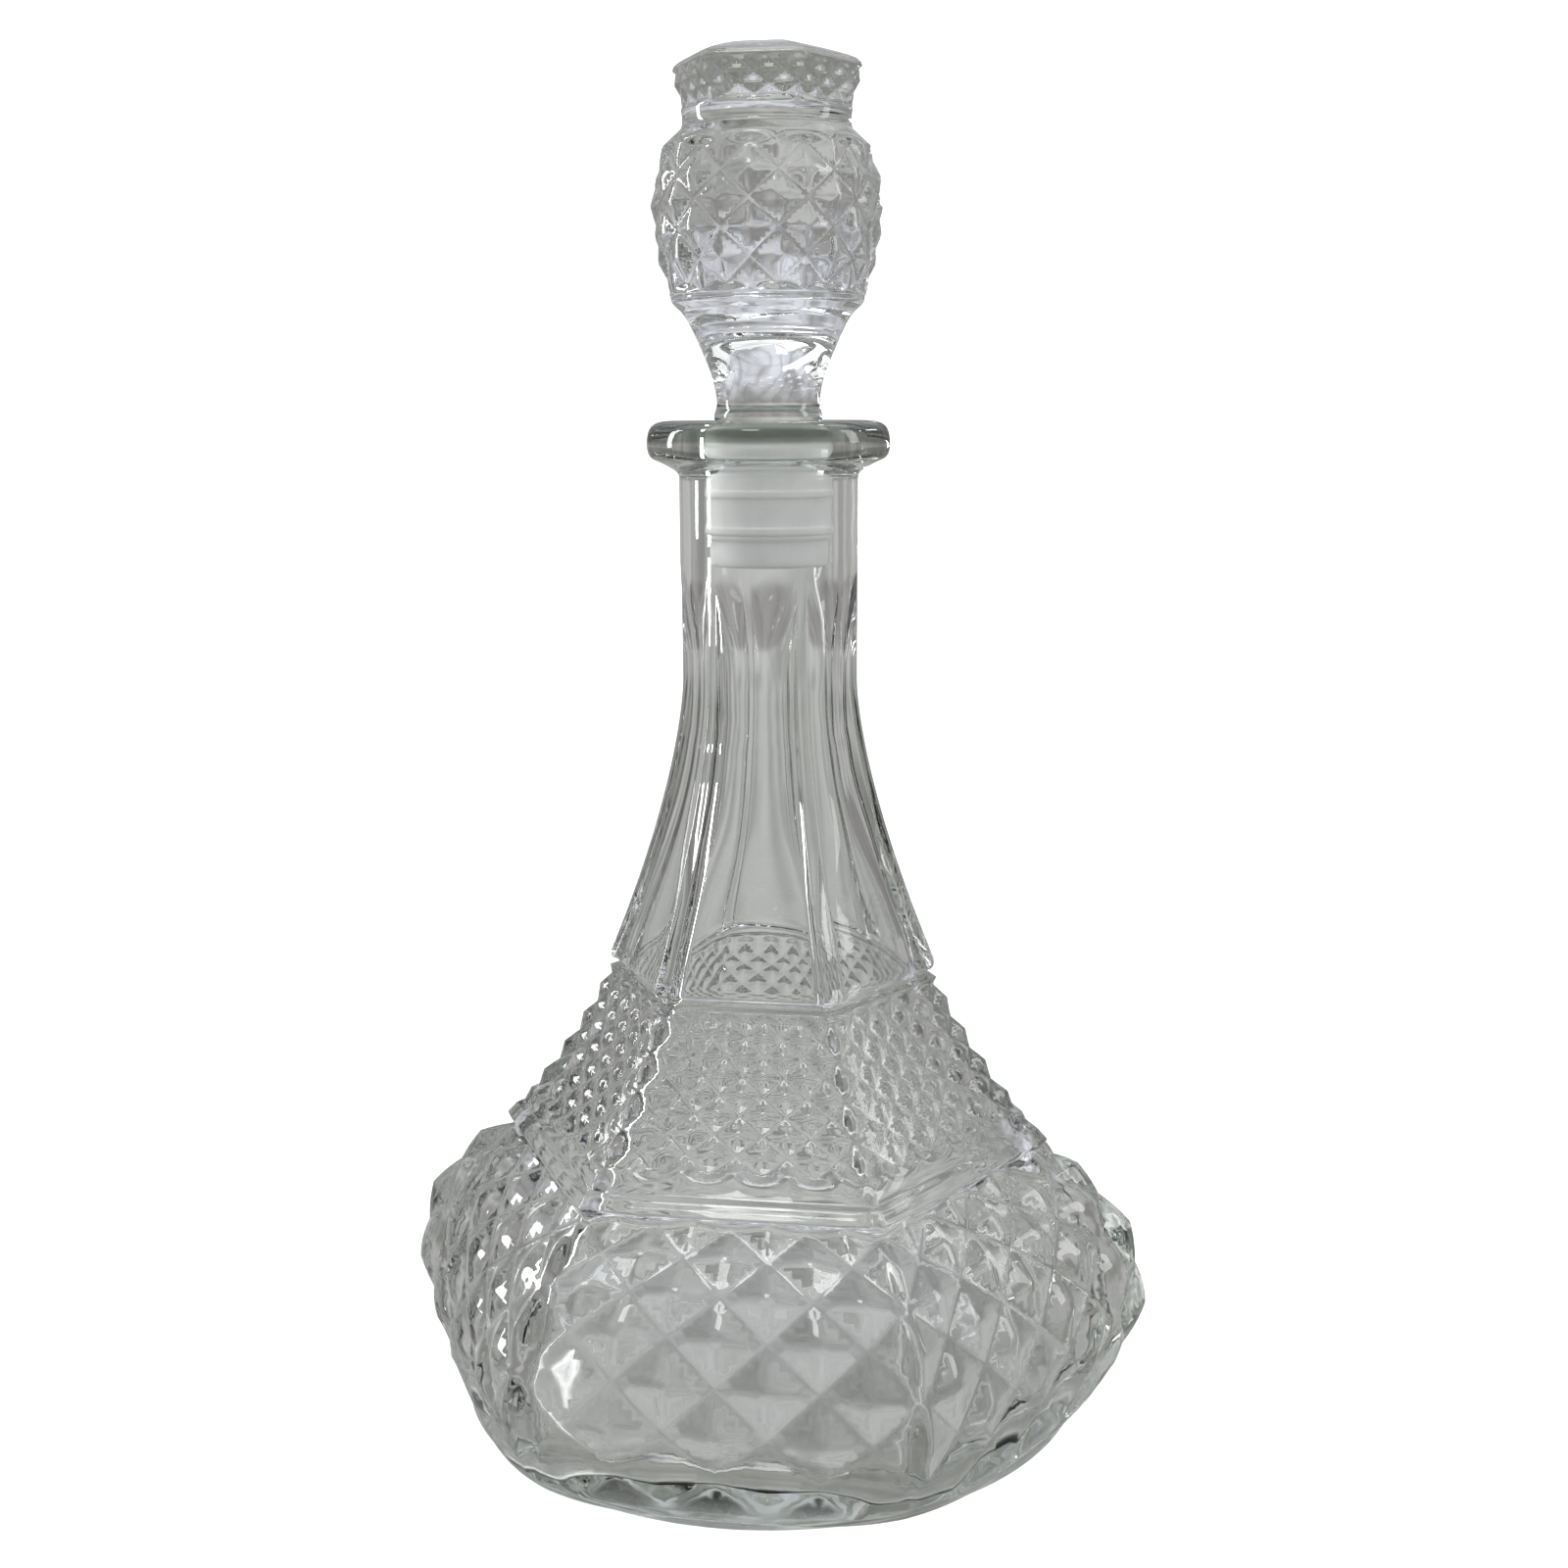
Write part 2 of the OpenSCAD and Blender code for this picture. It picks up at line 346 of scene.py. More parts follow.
def outer_stations(shape):
    """Stations of the outside, from the middle of the base to the top of the round neck.

    Each has the corner reach, the height, the round limit, the relief's depth, its half-row count,
    its columns to a face, and how far the corner pillars show.
    """
    foot = shape.foot_radius
    under = rounded([(0.0, 2.0 * MM), (foot - 9.0 * MM, 2.0 * MM), (foot - 7.2 * MM, 0.0),
                     (foot - 3.4 * MM, 0.0), (foot - 0.6 * MM, 0.0), (foot + 0.7 * MM, 0.9 * MM)])
    under = np.concatenate([np.stack([np.linspace(0.0, under[1, 0], 8)[:-1],
                                      np.full(7, under[1, 1])], -1), under[1:]])
    parts = [rows(OPEN, under[:, 1], limit=np.maximum(under[:, 0], 1e-6))]

    count, height = large_rows(shape)
    heel = np.linspace(1.6 * MM, height[0], 8)[:-1]
    parts.append(rows(bulge_corner(shape, heel), heel, limit=heel_limit(shape, heel),
                      count=count[0], columns=shape.large_columns))
    fade = ease((LARGE_LAST_ROW - count) / (LARGE_LAST_ROW - FADE_ROW))
    corner = bulge_corner(shape, height)
    limit = smooth_least(heel_limit(shape, height), corner * BOWL_CORNER_LIMIT, 30)
    parts.append(rows(corner, height, limit=limit,
                      depth=shape.large_depth * fade, count=count, columns=shape.large_columns))

    ridge = shape.ridge_height
    roll = np.array([(50.3, 0.15), (50.65, 0.3), (50.8, 0.6), (50.6, 1.0), (50.0, 1.6), (49.5, 2.1),
                     (49.2, 2.5), (48.7, 2.8), (48.0, 2.9), (47.5, 3.2), (46.8, 4.5),
                     (46.1, 5.8)]) * MM
    parts.append(rows(roll[:, 0], ridge + roll[:, 1], limit=roll[:, 0] * CORNER_LIMIT))

    steps = shape.small_half_rows * SMALL_CELLS
    count = np.arange(steps, -1, -1) / SMALL_CELLS
    pitch = (shape.field_top - shape.field_bottom) / shape.small_half_rows
    height = shape.field_top - count * pitch
    corner = field_corner(height)
    parts.append(rows(corner, height, limit=corner * CORNER_LIMIT, depth=shape.small_depth,
                      count=count, columns=shape.small_columns))
    count = -ABOVE_ROWS
    height = shape.field_top - count * pitch
    corner = field_corner(height)
    parts.append(rows(corner, height, limit=corner * CORNER_LIMIT, depth=shape.small_depth,
                      count=count, columns=shape.small_columns))

    step = shape.step_height
    notch = rounded([(29.6 * MM, step - 2.7 * MM), (28.2 * MM, step - 2.45 * MM),
                     (28.0 * MM, step - 1.1 * MM), (29.7 * MM, step - 1.0 * MM),
                     (30.1 * MM, step + 0.4 * MM)], cuts=2)
    parts.append(rows(notch[:, 0], notch[:, 1], limit=notch[:, 0] * CORNER_LIMIT,
                      pillar=np.linspace(0.0, 1.0, len(notch)) ** 2))

    height = np.concatenate([np.linspace(step + 0.8 * MM, step + 3 * MM, 5)[:-1],
                             np.linspace(step + 3 * MM, shape.panel_top, 56)])
    corner = panel_corner(shape, height)
    parts.append(rows(corner, height, limit=OPEN, pillar=1.0))

    height = np.linspace(shape.panel_top + 1 * MM, shape.lip_height - 2.2 * MM, 10)
    parts.append(rows(OPEN, height, limit=shape.neck_radius))
    return np.concatenate(parts)


def pillar_angles(shape, height):
    """Half angle of a corner pillar seen from the axis, wider towards the shoulder."""
    share = np.clip((shape.waist_height - height) / (shape.waist_height - shape.step_height), 0, 1)
    half_width = PILLAR_HALF + PILLAR_WIDENING * share ** 1.3
    return np.arctan(half_width / panel_corner(shape, height))


def column_angles(shape, stations):
    """Angle of each mesh column from its face's middle, for every station.

    Even columns are spread evenly along the flat side. Where pillars show, the first three on
    each side of a corner lie on the pillar and the next one at the foot of its side.
    """
    index = np.arange(CELLS)
    even = np.arctan((2.0 * index / CELLS - 1.0) * math.tan(FACE_HALF_ANGLE))
    fold = np.minimum(index, CELLS - index)
    side = np.where(index <= CELLS / 2, -1.0, 1.0)
    half = pillar_angles(shape, stations[:, 1])[:, None]
    foot = half + 0.30 * MM / panel_corner(shape, stations[:, 1])[:, None]
    on_pillar = np.interp(fold, [0, 1, 2, 3], [0.0, 0.6, 0.9, 1.0]) * half
    rest = CELLS / 2 - PILLAR_CELLS - 1
    on_panel = foot + (FACE_HALF_ANGLE - foot) * (fold - PILLAR_CELLS - 1) / rest
    from_corner = np.where(fold <= PILLAR_CELLS, on_pillar, on_panel)
    shaped = side * (FACE_HALF_ANGLE - from_corner)
    show = stations[:, 6:7]
    return even[None, :] * (1.0 - show) + shaped * show, fold


def bottle_outside(shape):
    """Radius, angle, height and relief of every point of the outside.

    Formula: a hexagon's radius is its flat distance over the cosine of the angle from the face's
    middle. The flat distance and the height move inwards along the profile's normal by the depth
    times one less the pyramid's height, and a round limit is blended over the corners.
    """
    table = outer_stations(shape)
    corner, height, limit, depth, count, columns, pillar = table.T
    angle, fold = column_angles(shape, table)
    across = (np.tan(angle) / math.tan(FACE_HALF_ANGLE) + 1.0) / 2.0
    half_columns = 2.0 * across * columns[:, None]
    on_small = columns[:, None] == shape.small_columns
    softness = np.where(on_small, SMALL_SOFTNESS, LARGE_SOFTNESS)
    crest = pyramid(half_columns, count[:, None], softness)
    last_crest = pyramid(half_columns, np.zeros((len(table), 1)), softness)
    above = np.clip(-count, 0.0, None)[:, None] / ABOVE_ROWS[-1]
    crest = np.where(count[:, None] < 0.0, np.minimum(1.0, last_crest + above), crest)
    crest = np.where(depth[:, None] > 0.0, crest, 1.0)
    normal_r, normal_z = outward(corner * FLAT_RATIO, height)
    sink = depth[:, None] * (1.0 - crest)
    flat = corner[:, None] * FLAT_RATIO - sink * normal_r[:, None]
    tall = height[:, None] - sink * normal_z[:, None]
    hexagon = flat / np.cos(angle)
    radius = smooth_least(hexagon, np.broadcast_to(limit[:, None], hexagon.shape), CORNER_SHARPNESS)

    fading = ease((height - FADE_LOW) / (shape.panel_top - FADE_LOW))[:, None]
    half = pillar_angles(shape, height)[:, None]
    top = panel_corner(shape, height)[:, None]
    proud = np.interp(height, [shape.step_height, shape.waist_height],
                      [PROUD_LOW, PROUD_HIGH])[:, None]
    beside = (top / np.cos(half) - proud) * np.cos(FACE_HALF_ANGLE - half)
    flute = FLUTE * (1.0 - (2.0 * across - 1.0) ** 2)
    panel = (beside - flute) / np.cos(angle)
    bar = top / np.cos(FACE_HALF_ANGLE - np.abs(angle))
    bar = bar - proud * 0.18 * (fold == PILLAR_CELLS)
    neck = np.where(fold <= PILLAR_CELLS, bar, panel)
    neck = neck * (1.0 - fading) + (shape.neck_radius - 0.05 * MM) * fading
    show = pillar[:, None]
    radius = radius * (1.0 - show) + neck * show
    return radius, angle, tall, crest


def lip_and_bore(shape, top):
    """Round profile over the lip and down the bore to where the neck starts to widen."""
    lip, neck, bore = shape.lip_radius, shape.neck_radius, shape.bore_radius
    under = shape.lip_height
    edge = rounded([
        (neck, under - 1.8 * MM), (neck, under - 0.5 * MM), (neck + 0.9 * MM, under + 0.3 * MM),
        (lip - 2.6 * MM, under + 1.4 * MM), (lip - 0.6 * MM, under + 2.2 * MM),
        (lip, under + 3.6 * MM), (lip, top - 2.9 * MM), (lip - 0.6 * MM, top - 0.9 * MM),
        (lip - 2.6 * MM, top), (bore + 3.0 * MM, top), (bore + 0.8 * MM, top - 0.3 * MM),
        (bore, top - 1.8 * MM), (bore, top - 4.0 * MM)])
    down = np.linspace(top - 6.0 * MM, 122.0 * MM, 12)
    return np.concatenate([edge, np.stack([np.full(len(down), bore), down], -1)])


def inner_stations(shape):
    """Flat distance, round limit and height of the hollow, from the neck down to its floor.

    Formula: the outside's flat distance less the wall, never less than the bore, and averaged with
    its neighbours a few times; the bowl's floor joins its side by a quarter ellipse.
    """
    height = np.concatenate([np.linspace(120.0, 84.0, 16), np.linspace(80.0, 52.0, 12),
                             np.linspace(49.0, 16.0, 16)]) * MM
    outside = np.where(height > shape.step_height, panel_corner(shape, height),
                       np.where(height > SLOPE_LOW, field_corner(height),
                                bulge_corner(shape, height)))
    wall = np.interp(height, [50 * MM, 84 * MM, 118 * MM], [shape.wall, 3.7 * MM, 3.5 * MM])
    flat = outside * FLAT_RATIO - wall
    flat = (np.maximum(flat, 0.0) ** 14 + shape.bore_radius ** 14) ** (1 / 14)
    for _ in range(6):
        flat[1:-1] = (flat[:-2] + 2.0 * flat[1:-1] + flat[2:]) / 4.0
    turn = np.linspace(0.0, math.pi / 2, 16)[1:]
    drop = height[-1] - shape.floor_height
    floor_edge = flat[-1] - FLOOR_CORNER * (1.0 - np.cos(turn))
    floor_drop = height[-1] - drop * np.sin(turn)
    inwards = floor_edge[-1] * np.linspace(1.0, 0.0, 10)[1:]
    crown = FLOOR_CROWN * (1.0 - (inwards / floor_edge[-1]) ** 2)
    flat = np.concatenate([flat, floor_edge, np.maximum(inwards, 1e-6)])
    height = np.concatenate([height, floor_drop, floor_drop[-1] + crown])
    hexed = ease((116 * MM - height) / (26 * MM))
    limit = flat * (1.0 + 0.13 * hexed)
    flat = np.where(hexed < 1.0, flat * (1.0 + 0.12 * (1.0 - hexed)), flat)
    return flat, limit, height


def build_bottle(shape):
    """The whole bottle as one closed surface: outside, lip, bore and hollow."""
    radius, angle, tall, crest = bottle_outside(shape)
    even = np.arctan((2.0 * np.arange(CELLS) / CELLS - 1.0) * math.tan(FACE_HALF_ANGLE))

    turned = lip_and_bore(shape, BOTTLE_HIGH.z)
    round_radius = np.repeat(turned[:, :1], CELLS, axis=1)
    round_tall = np.repeat(turned[:, 1:], CELLS, axis=1)

    flat, limit, height = inner_stations(shape)
    hollow = flat[:, None] / np.cos(even)[None, :]
    hollow = smooth_least(hollow, np.broadcast_to(limit[:, None], hollow.shape), 16.0)
    hollow_tall = np.repeat(height[:, None], CELLS, axis=1)

    radius = np.concatenate([radius, round_radius, hollow])
    tall = np.concatenate([tall, round_tall, hollow_tall])
    plain = len(round_radius) + len(hollow)
    angle = np.concatenate([angle, np.repeat(even[None, :], plain, axis=0)])
    crest = np.concatenate([crest, np.ones((plain, CELLS))])

    turns = FRONT_AZIMUTH + np.arange(FACES) * 2.0 * FACE_HALF_ANGLE
    azimuth = (turns[None, :, None] + angle[:, None, :]).reshape(len(radius), -1)
    return skin("bottle_glass", place(np.tile(radius, (1, FACES)), azimuth, np.tile(tall, (1, FACES))),
                np.tile(crest, (1, FACES)))


# ---------------------------------------------------------------- stopper

STOPPER_CELLS = 24          # mesh columns to a sixth of a turn
KNOB_CELLS = 6              # mesh rows to a half row of the knob's diamonds
KNOB_HALF_ROWS = 5          # half rows of diamonds on the knob
KNOB_SOFTNESS = 2.6         # how pointed its diamonds are
KNOB_LOWER_SPAN = 0.0276    # height of the half ellipse below the knob's widest height
KNOB_UPPER_SPAN = 0.0205    # height of the one above it
CROWN_CELLS = 4             # mesh rows to a half row of the crown's diamonds
CROWN_HALF_ROWS = 3         # half rows of diamonds on the crown
CROWN_COLUMNS = 3           # crown diamonds across a face
CROWN_SOFTNESS = 2.5        # how pointed they are
CROWN_DEPTH = 0.0005        # how high they are
CROWN_LIMIT = 1.03          # the crown's round limit over its corner reach


def knob_reach(shape, height):
    """Radius of the knob: two half ellipses that meet at its widest height."""
    span = np.where(height < shape.knob_height, KNOB_LOWER_SPAN, KNOB_UPPER_SPAN)
    return shape.knob_radius * np.sqrt(1.0 - ((height - shape.knob_height) / span) ** 2)


def build_stopper(shape):
    """The stopper as one closed surface: peg, stem, knob with diamonds, groove and crown.

    Formula: a turned profile whose radius sinks by the depth times one less the pyramid's height,
    and above the groove a hexagon, whose radius is its flat distance over the cosine of the angle
    from the face's middle, blended with a round limit.
    """
    peg = shape.peg_radius
    foot = STOPPER_LOW.z
    mouth = BOTTLE_HIGH.z
    low = rounded([(0.0, foot), (peg - 1.6 * MM, foot), (peg - 0.2 * MM, foot + 0.5 * MM),
                   (peg, foot + 1.8 * MM), (peg, foot + 12 * MM), (peg, mouth - 1.0 * MM),
                   (peg + 0.55 * MM, mouth + 0.2 * MM), (peg + 0.5 * MM, mouth + 1.2 * MM),
                   (peg, mouth + 2.4 * MM), (peg + 0.2 * MM, mouth + 4.6 * MM),
                   (peg + 1.0 * MM, mouth + 8.0 * MM), (peg + 2.6 * MM, mouth + 11.8 * MM),
                   (peg + 4.6 * MM, mouth + 16.2 * MM), (peg + 5.8 * MM, mouth + 18.0 * MM),
                   (peg + 7.2 * MM, mouth + 19.2 * MM), (peg + 7.7 * MM, mouth + 19.9 * MM),
                   (peg + 7.7 * MM, mouth + 20.6 * MM), (peg + 8.0 * MM, mouth + 21.0 * MM)])
    bottom, top = mouth + 21.4 * MM, mouth + 44.6 * MM
    count = np.arange(KNOB_HALF_ROWS * KNOB_CELLS, -1, -1) / KNOB_CELLS
    knob_z = top - (top - bottom) * count / KNOB_HALF_ROWS
    knob_r = knob_reach(shape, knob_z)
    groove = shape.groove_radius
    waist = rounded([(knob_reach(shape, top + 0.5 * MM), top + 0.5 * MM),
                     (groove + 0.9 * MM, top + 2.6 * MM), (groove, top + 3.4 * MM),
                     (groove - 0.1 * MM, top + 5.2 * MM), (groove + 0.1 * MM, top + 6.4 * MM)], cuts=2)
    crown_low = waist[-1, 1] + 0.5 * MM
    crown_count = np.arange(CROWN_HALF_ROWS * CROWN_CELLS, -1, -1) / CROWN_CELLS
    crown_top = shape.crown_height - 1.3 * MM
    crown_z = crown_top - (crown_top - crown_low) * crown_count / CROWN_HALF_ROWS
    rise = (crown_z - crown_low) / (crown_top - crown_low)
    crown_r = shape.crown_reach - 1.6 * MM * (1.0 - rise) ** 1.5
    edge, high = shape.crown_reach, shape.crown_height
    peak = high + shape.dome_rise
    dome = rounded([(edge + 0.05 * MM, crown_top + 0.5 * MM), (edge - 0.1 * MM, high),
                    (edge - 1.4 * MM, high + 0.9 * MM), (edge * 0.6, high + 2.3 * MM),
                    (edge * 0.3, peak - 0.15 * MM), (0.0, peak)])

    reach = np.concatenate([low[:, 0], knob_r, waist[:, 0], crown_r, dome[:, 0]])
    height = np.concatenate([low[:, 1], knob_z, waist[:, 1], crown_z, dome[:, 1]])
    sizes = [len(low), len(knob_z), len(waist), len(crown_z), len(dome)]
    part = np.repeat(["stem", "knob", "groove", "crown", "dome"], sizes)
    counts = np.zeros(len(reach))
    counts[part == "knob"] = count
    counts[part == "crown"] = crown_count

    across = np.arange(STOPPER_CELLS) / STOPPER_CELLS
    even = (2.0 * across - 1.0) * FACE_HALF_ANGLE
    flat_angle = np.arctan((2.0 * across - 1.0) * math.tan(FACE_HALF_ANGLE))
    sixed = np.isin(part, ["crown", "dome"]).astype(float)[:, None]
    angle = even[None, :] * (1.0 - sixed) + flat_angle[None, :] * sixed
    per_face = shape.diamond_columns / FACES
    knob_crest = pyramid(2.0 * across[None, :] * per_face, counts[:, None], KNOB_SOFTNESS)
    crown_crest = pyramid(2.0 * across[None, :] * CROWN_COLUMNS, counts[:, None], CROWN_SOFTNESS)
    on_knob, on_crown = (part == "knob")[:, None], (part == "crown")[:, None]
    crest = np.where(on_knob, knob_crest, np.where(on_crown, crown_crest, 1.0))
    depth = np.where(on_knob, shape.diamond_depth, np.where(on_crown, CROWN_DEPTH, 0.0))
    normal_r, normal_z = outward(reach, height)
    sink = depth * (1.0 - crest)
    base = np.maximum(reach, 1e-6)[:, None] - sink * normal_r[:, None]
    tall = height[:, None] - sink * normal_z[:, None]
    hexagon = base * FLAT_RATIO / np.cos(flat_angle)[None, :]
    crown = smooth_least(hexagon, base * CROWN_LIMIT, CORNER_SHARPNESS)
    radius = np.where(sixed > 0.0, crown, base)

    turns = FRONT_AZIMUTH + np.arange(FACES) * 2.0 * FACE_HALF_ANGLE
    azimuth = (turns[None, :, None] + angle[:, None, :]).reshape(len(radius), -1)
    return skin("stopper_glass", place(np.tile(radius, (1, FACES)), azimuth, np.tile(tall, (1, FACES))),
                np.tile(crest, (1, FACES)))


# ---------------------------------------------------------------- sleeve

SLEEVE_COLUMNS = 144        # mesh columns all the way round


def build_sleeve(shape):
    """The plastic sleeve: one looped profile turned round the axis, with soft sealing rings."""
    low, top = SLEEVE_LOW.z, SLEEVE_HIGH.z
    bore, barrel, seal, tip = (shape.bore_radius, shape.barrel_radius, shape.seal_radius,
                               shape.tip_radius)
    outside = [(bore + 0.2 * MM, low), (tip - 0.5 * MM, low), (tip, low + 0.5 * MM),
               (tip, low + 4.2 * MM), (tip + 0.5 * MM, low + 4.8 * MM),
               (tip + 0.6 * MM, low + 5.2 * MM)]
    for ring in (low + 6.2 * MM, low + 12.4 * MM, top - 2.4 * MM):
        outside += [(barrel, ring - 0.8 * MM), (seal, ring - 0.5 * MM), (seal, ring + 0.5 * MM),
                    (barrel, ring + 0.8 * MM)]
    outside += [(barrel, top - 0.4 * MM), (barrel - 0.4 * MM, top), (bore + 0.3 * MM, top),
                (bore, top - 0.3 * MM)]
    inside = [(bore, z) for z in np.linspace(top - 1.0 * MM, low + 1.0 * MM, 12)]
    profile = rounded(outside + inside + [(bore, low + 0.2 * MM)], bow=0.2, cuts=2)
    azimuth = np.arange(SLEEVE_COLUMNS) * 2.0 * math.pi / SLEEVE_COLUMNS
    radius = np.repeat(profile[:, :1], SLEEVE_COLUMNS, axis=1)
    tall = np.repeat(profile[:, 1:], SLEEVE_COLUMNS, axis=1)
    azimuth = np.broadcast_to(azimuth, radius.shape)
    return skin("sleeve_plastic", place(radius, azimuth, tall), looped=True)


# ---------------------------------------------------------------- shader maths


class Shade:
    """A socket of a node tree. Sums on it add Math nodes, and node() adds any other node."""

    def __init__(self, tree, socket=None):
        self.tree = tree
        self.socket = socket

    def node(self, kind, settings=None, **values):
        """Adds a node: its settings first, then a value or a link for each named socket."""
        made = self.tree.nodes.new(kind)
        for key, value in (settings or {}).items():
            setattr(made, key, value)
        for key, value in values.items():
            name = key.replace("_", " ")
            socket = made.inputs[int(key[2:])] if key.startswith("at") else made.inputs[name]
            if isinstance(value, Shade):
                value = value.socket
            if isinstance(value, bpy.types.NodeSocket):
                self.tree.links.new(value, socket)
            else:
                socket.default_value = value
        return made

    def wrap(self, socket):
        return Shade(self.tree, socket)

    def maths(self, operation, first, second):
        made = self.node("ShaderNodeMath", {"operation": operation}, at0=first, at1=second)
        return self.wrap(made.outputs[0])

    def __add__(self, other):
        return self.maths("ADD", self, other)

    def __sub__(self, other):
        return self.maths("SUBTRACT", self, other)

    def __rsub__(self, other):
        return self.maths("SUBTRACT", other, self)

    def __mul__(self, other):
        return self.maths("MULTIPLY", self, other)

    def __pow__(self, other):
        return self.maths("POWER", self, other)

    def bounded(self, low, high):
        """Eased from 0 at low to 1 at high."""
        made = self.node("ShaderNodeMapRange", {"interpolation_type": "SMOOTHSTEP"},
                         Value=self, From_Min=low, From_Max=high)
        return self.wrap(made.outputs[0])

    def mix(self, first, second):
        """A colour between two, by this value."""
        made = self.node("ShaderNodeMix", {"data_type": "RGBA"}, at0=self, at6=first, at7=second)
        return self.wrap(made.outputs[2])

    __radd__, __rmul__ = __add__, __mul__


def opaque(rgb):
    """A colour with full alpha."""
    return (*rgb, 1.0)


def new_material(name):
    """An empty material and a Shade on its tree, with its output node."""
    material = bpy.data.materials.new(name)
    material.use_nodes = True
    material.node_tree.nodes.clear()
    shade = Shade(material.node_tree)
    output = shade.node("ShaderNodeOutputMaterial")
    return material, shade, output


def noise(shade, where, scale, detail=2.0, roughness=0.5):
    """Smooth noise, 0 to 1, at the given coordinates."""
    made = shade.node("ShaderNodeTexNoise", Vector=where, Scale=scale, Detail=detail,
                      Roughness=roughness)
    return shade.wrap(made.outputs[0])


def pressed_glass(name, tint, density, wave, lip_shade_low=1.0):
    """Clear pressed glass: mould-chilled skin waves, faint cords and a green tint with depth.

    Above the lip-shade height the skin's colour is darkened to a green grey, painted shade for the
    dark edge of the thick rolled lip, and the ring that the bottle stands on is satin, as a stippled
    one is.
    """
    material, shade, output = new_material(name)
    where = shade.wrap(shade.node("ShaderNodeTexCoord").outputs["Object"])
    height = shade.wrap(shade.node("ShaderNodeSeparateXYZ", Vector=where).outputs["Z"])
    # Mask of painted shade: 0 below the given height, 1 above it, where the thick lip's dark edge is
    # painted into the colour.
    lip_shade = height.bounded(lip_shade_low, lip_shade_low + 0.8 * MM)
    stipple = (1.0 - height.bounded(1.3 * MM, 1.9 * MM)) * 0.45
    skin_wave = noise(shade, where, 85.0, 2.0)
    fine_wave = noise(shade, where, 420.0, 1.0)
    smear = noise(shade, where, 60.0, 4.0, 0.62)
    clear = smear.bounded(0.35, 0.7).mix((0.99, 0.995, 0.99, 1.0), (0.955, 0.965, 0.96, 1.0))
    relief = skin_wave + fine_wave * 0.05
    bump = shade.node("ShaderNodeBump", Strength=wave, Distance=0.0010, Height=relief)
    glass = shade.node(
        "ShaderNodeBsdfPrincipled",
        # Above that height the base colour is painted shade: a dark green grey for the lip's thick edge.
        Base_Color=lip_shade.mix(clear, (0.26, 0.29, 0.25, 1.0)),
        Roughness=smear.bounded(0.55, 0.85) * 0.03 + stipple,
        IOR=1.52, Transmission_Weight=1.0, Normal=bump.outputs[0])
    depths = shade.node("ShaderNodeVolumeAbsorption", Color=opaque(tint), Density=density)
    shade.tree.links.new(glass.outputs[0], output.inputs["Surface"])
    shade.tree.links.new(depths.outputs[0], output.inputs["Volume"])
    return material


def sleeve_plastic(rgb):
    """Translucent white polyethylene: cloudy, with a satin skin and a faint grain. Its faint glow in
    its own colour is painted light, standing in for light scattered into it through the glass.
    """
    material, shade, output = new_material("sleeve polyethylene")
    where = shade.wrap(shade.node("ShaderNodeTexCoord").outputs["Object"])
    cloud = noise(shade, where, 240.0, 3.0)
    grain = noise(shade, where, 2600.0, 2.0)
    bump = shade.node("ShaderNodeBump", Strength=0.15, Distance=0.0002, Height=grain)
    shaded = [c * 0.93 for c in rgb]
    plastic = shade.node(
        "ShaderNodeBsdfPrincipled",
        Base_Color=cloud.bounded(0.3, 0.7).mix(opaque(rgb), opaque(shaded)),
        Roughness=cloud * 0.15 + 0.32, IOR=1.51, Transmission_Weight=0.2,
        # The emission is painted light: the sleeve glows faintly in its own colour though it is no lamp.
        Emission_Color=opaque(rgb), Emission_Strength=0.06, Normal=bump.outputs[0])
    shade.tree.links.new(plastic.outputs[0], output.inputs["Surface"])
    return material


def stage_paint(rgb):
    """Matt pale paint of the floor and backdrop, with painted light: a glow that grows up the wall."""
    material, shade, output = new_material("stage paint")
    where = shade.node("ShaderNodeTexCoord").outputs["Object"]
    height = shade.wrap(shade.node("ShaderNodeSeparateXYZ", Vector=where).outputs["Z"])
    dim, bright = ([c * share for c in rgb] for share in (0.3, 0.6))
    # Painted light: the emission is dim on the floor and brighter up the wall.
    glow = height.bounded(0.0, 0.5).mix(opaque(dim), opaque(bright))
    paint = shade.node("ShaderNodeBsdfPrincipled", Base_Color=opaque(rgb), Roughness=1.0,
                       Emission_Color=glow, Emission_Strength=1.0)
    shade.tree.links.new(paint.outputs[0], output.inputs["Surface"])
    return material


# ---------------------------------------------------------------- stage

CAMERA_DISTANCE = 0.34472   # from the axis, level
CAMERA_HEIGHT = 0.17802
CAMERA_ASIDE = 0.00245
CAMERA_PITCH = math.radians(10.807)
CAMERA_TURN = math.radians(8.86)
CAMERA_ROLL = math.radians(-0.226)
LENS = 45.19                # on a 36 mm sensor


def build_camera():
    """The camera: in front of the decanter, turned a little round it and tipped down."""
    lens = bpy.data.cameras.new("camera")
    lens.lens, lens.sensor_width, lens.clip_start = LENS, 36.0, 0.01
    camera = bpy.data.objects.new("camera", lens)
    bpy.context.scene.collection.objects.link(camera)
    turn = Matrix.Rotation(CAMERA_TURN, 3, "Z")
    right = turn @ Vector((1.0, 0.0, 0.0))
    forward = turn @ Vector((0.0, math.cos(CAMERA_PITCH), -math.sin(CAMERA_PITCH)))
    up = right.cross(forward)
    tipped_right = right * math.cos(CAMERA_ROLL) + up * math.sin(CAMERA_ROLL)
    tipped_up = up * math.cos(CAMERA_ROLL) - right * math.sin(CAMERA_ROLL)
    pose = Matrix((tipped_right, tipped_up, -forward)).transposed().to_4x4()
    pose.translation = turn @ Vector((CAMERA_ASIDE, -CAMERA_DISTANCE, CAMERA_HEIGHT))
    camera.matrix_world = pose
    bpy.context.scene.camera = camera
    return camera


